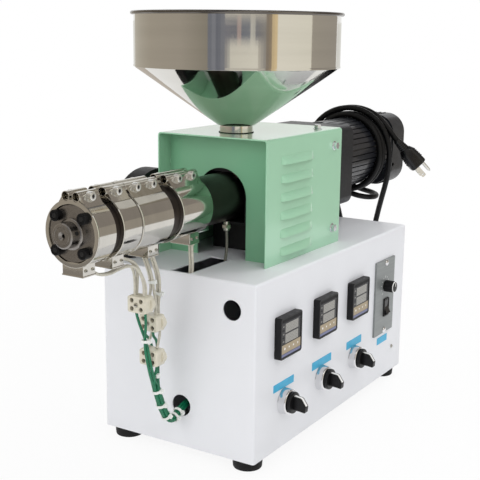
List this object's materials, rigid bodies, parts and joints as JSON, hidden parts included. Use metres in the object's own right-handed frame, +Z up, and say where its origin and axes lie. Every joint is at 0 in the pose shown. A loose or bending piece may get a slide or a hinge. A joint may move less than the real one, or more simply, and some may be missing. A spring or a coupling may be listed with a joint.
{
  "type": "filament extruder",
  "caption": "Desktop filament extruder with a mirror steel hopper, a heated screw barrel, a green louvred hood and a gear motor on a white control cabinet.",
  "frame": {"origin": "middle of the machine on the surface that its feet stand on", "axes": "+X along the screw from the nozzle to the motor, -Y out of the control panel, +Z up"},
  "size_m": [0.691, 0.257, 0.5],
  "materials": {
    "cabinet_paint": "satin white powder coat",
    "foot_rubber": "matte black rubber",
    "hood_paint": "satin mint green powder coat",
    "hopper_steel": "mirror polished stainless steel",
    "barrel_steel": "turned dark steel",
    "heater_steel": "bright stainless sheath",
    "cast_blocks": "dark painted castings",
    "motor_paint": "satin charcoal paint",
    "black_plastic": "fine textured black plastic",
    "selector_chrome": "polished bezel",
    "plate_metal": "brushed grey plate",
    "lead_sleeve": "woven glass sleeve",
    "ceramic": "glazed cream ceramic",
    "green_wire": "green insulated wire",
    "probe_steel": "braided steel sleeve",
    "cord_rubber": "black rubber cord"
  },
  "bodies": {
    "machine": {"cabinet_top": "cabinet_paint", "control_panel": "cabinet_paint", "cabinet_back_panel": "cabinet_paint", "cabinet_nozzle_end": "cabinet_paint", "cabinet_motor_end": "cabinet_paint", "cabinet_base": "cabinet_paint", "rubber_feet": "foot_rubber", "hood_top": "hood_paint", "hood_near_side": "hood_paint", "hood_far_side": "hood_paint", "hood_front_panel": "hood_paint", "hood_rear_panel": "hood_paint", "hopper_band": "hopper_steel", "hopper_cone": "hopper_steel", "barrel": "barrel_steel", "die_head": "barrel_steel", "nozzle": "barrel_steel", "extruder_screw": "barrel_steel", "band_heater_1": "heater_steel", "band_heater_2": "heater_steel", "band_heater_3": "heater_steel", "band_heater_4": "heater_steel", "feed_block": "cast_blocks", "bearing_housing": "cast_blocks", "gear_head": "motor_paint", "motor_body": "motor_paint", "fan_cowl": "motor_paint", "temperature_controller_1": "black_plastic", "temperature_controller_2": "black_plastic", "temperature_controller_3": "black_plastic", "rocker_frame": "black_plastic", "blower": "black_plastic", "selector_base_1": "selector_chrome", "selector_base_2": "selector_chrome", "selector_base_3": "selector_chrome", "speed_plate": "plate_metal", "heater_lead_1": "lead_sleeve", "heater_lead_2": "lead_sleeve", "heater_lead_3": "lead_sleeve", "heater_lead_4": "lead_sleeve", "terminal_block_1": "ceramic", "terminal_block_2": "ceramic", "terminal_block_3": "ceramic", "green_pair_1": "green_wire", "green_pair_2": "green_wire", "wire_bundle": "green_wire", "thermocouple": "probe_steel", "motor_lead": "cord_rubber", "cord_gland": "cord_rubber", "cord_riser": "cord_rubber", "cord_coil": "cord_rubber", "cord_tail": "cord_rubber", "plug": "cord_rubber"},
    "selector_1": {"selector_knob_1": "black_plastic"},
    "selector_2": {"selector_knob_2": "black_plastic"},
    "selector_3": {"selector_knob_3": "black_plastic"},
    "speed": {"speed_knob": "black_plastic"},
    "power": {"rocker": "black_plastic"}
  },
  "joints": [
    {"name": "selector_turn_1", "type": "hinge", "parent": "machine", "child": "selector_1", "pos_m": [-0.0989, -0.1085, 0.068], "axis": [0, 1, 0], "range_deg": [0, 90]},
    {"name": "selector_turn_2", "type": "hinge", "parent": "machine", "child": "selector_2", "pos_m": [-0.0079, -0.1085, 0.068], "axis": [0, 1, 0], "range_deg": [0, 90]},
    {"name": "selector_turn_3", "type": "hinge", "parent": "machine", "child": "selector_3", "pos_m": [0.0831, -0.1085, 0.068], "axis": [0, 1, 0], "range_deg": [0, 90]},
    {"name": "speed_turn", "type": "hinge", "parent": "machine", "child": "speed", "pos_m": [0.1715, -0.1085, 0.144], "axis": [0, 1, 0], "range_deg": [0, 280]},
    {"name": "power_rock", "type": "hinge", "parent": "machine", "child": "power", "pos_m": [0.1755, -0.0995, 0.1135], "axis": [1, 0, 0], "range_deg": [0, 22]}
  ]
}
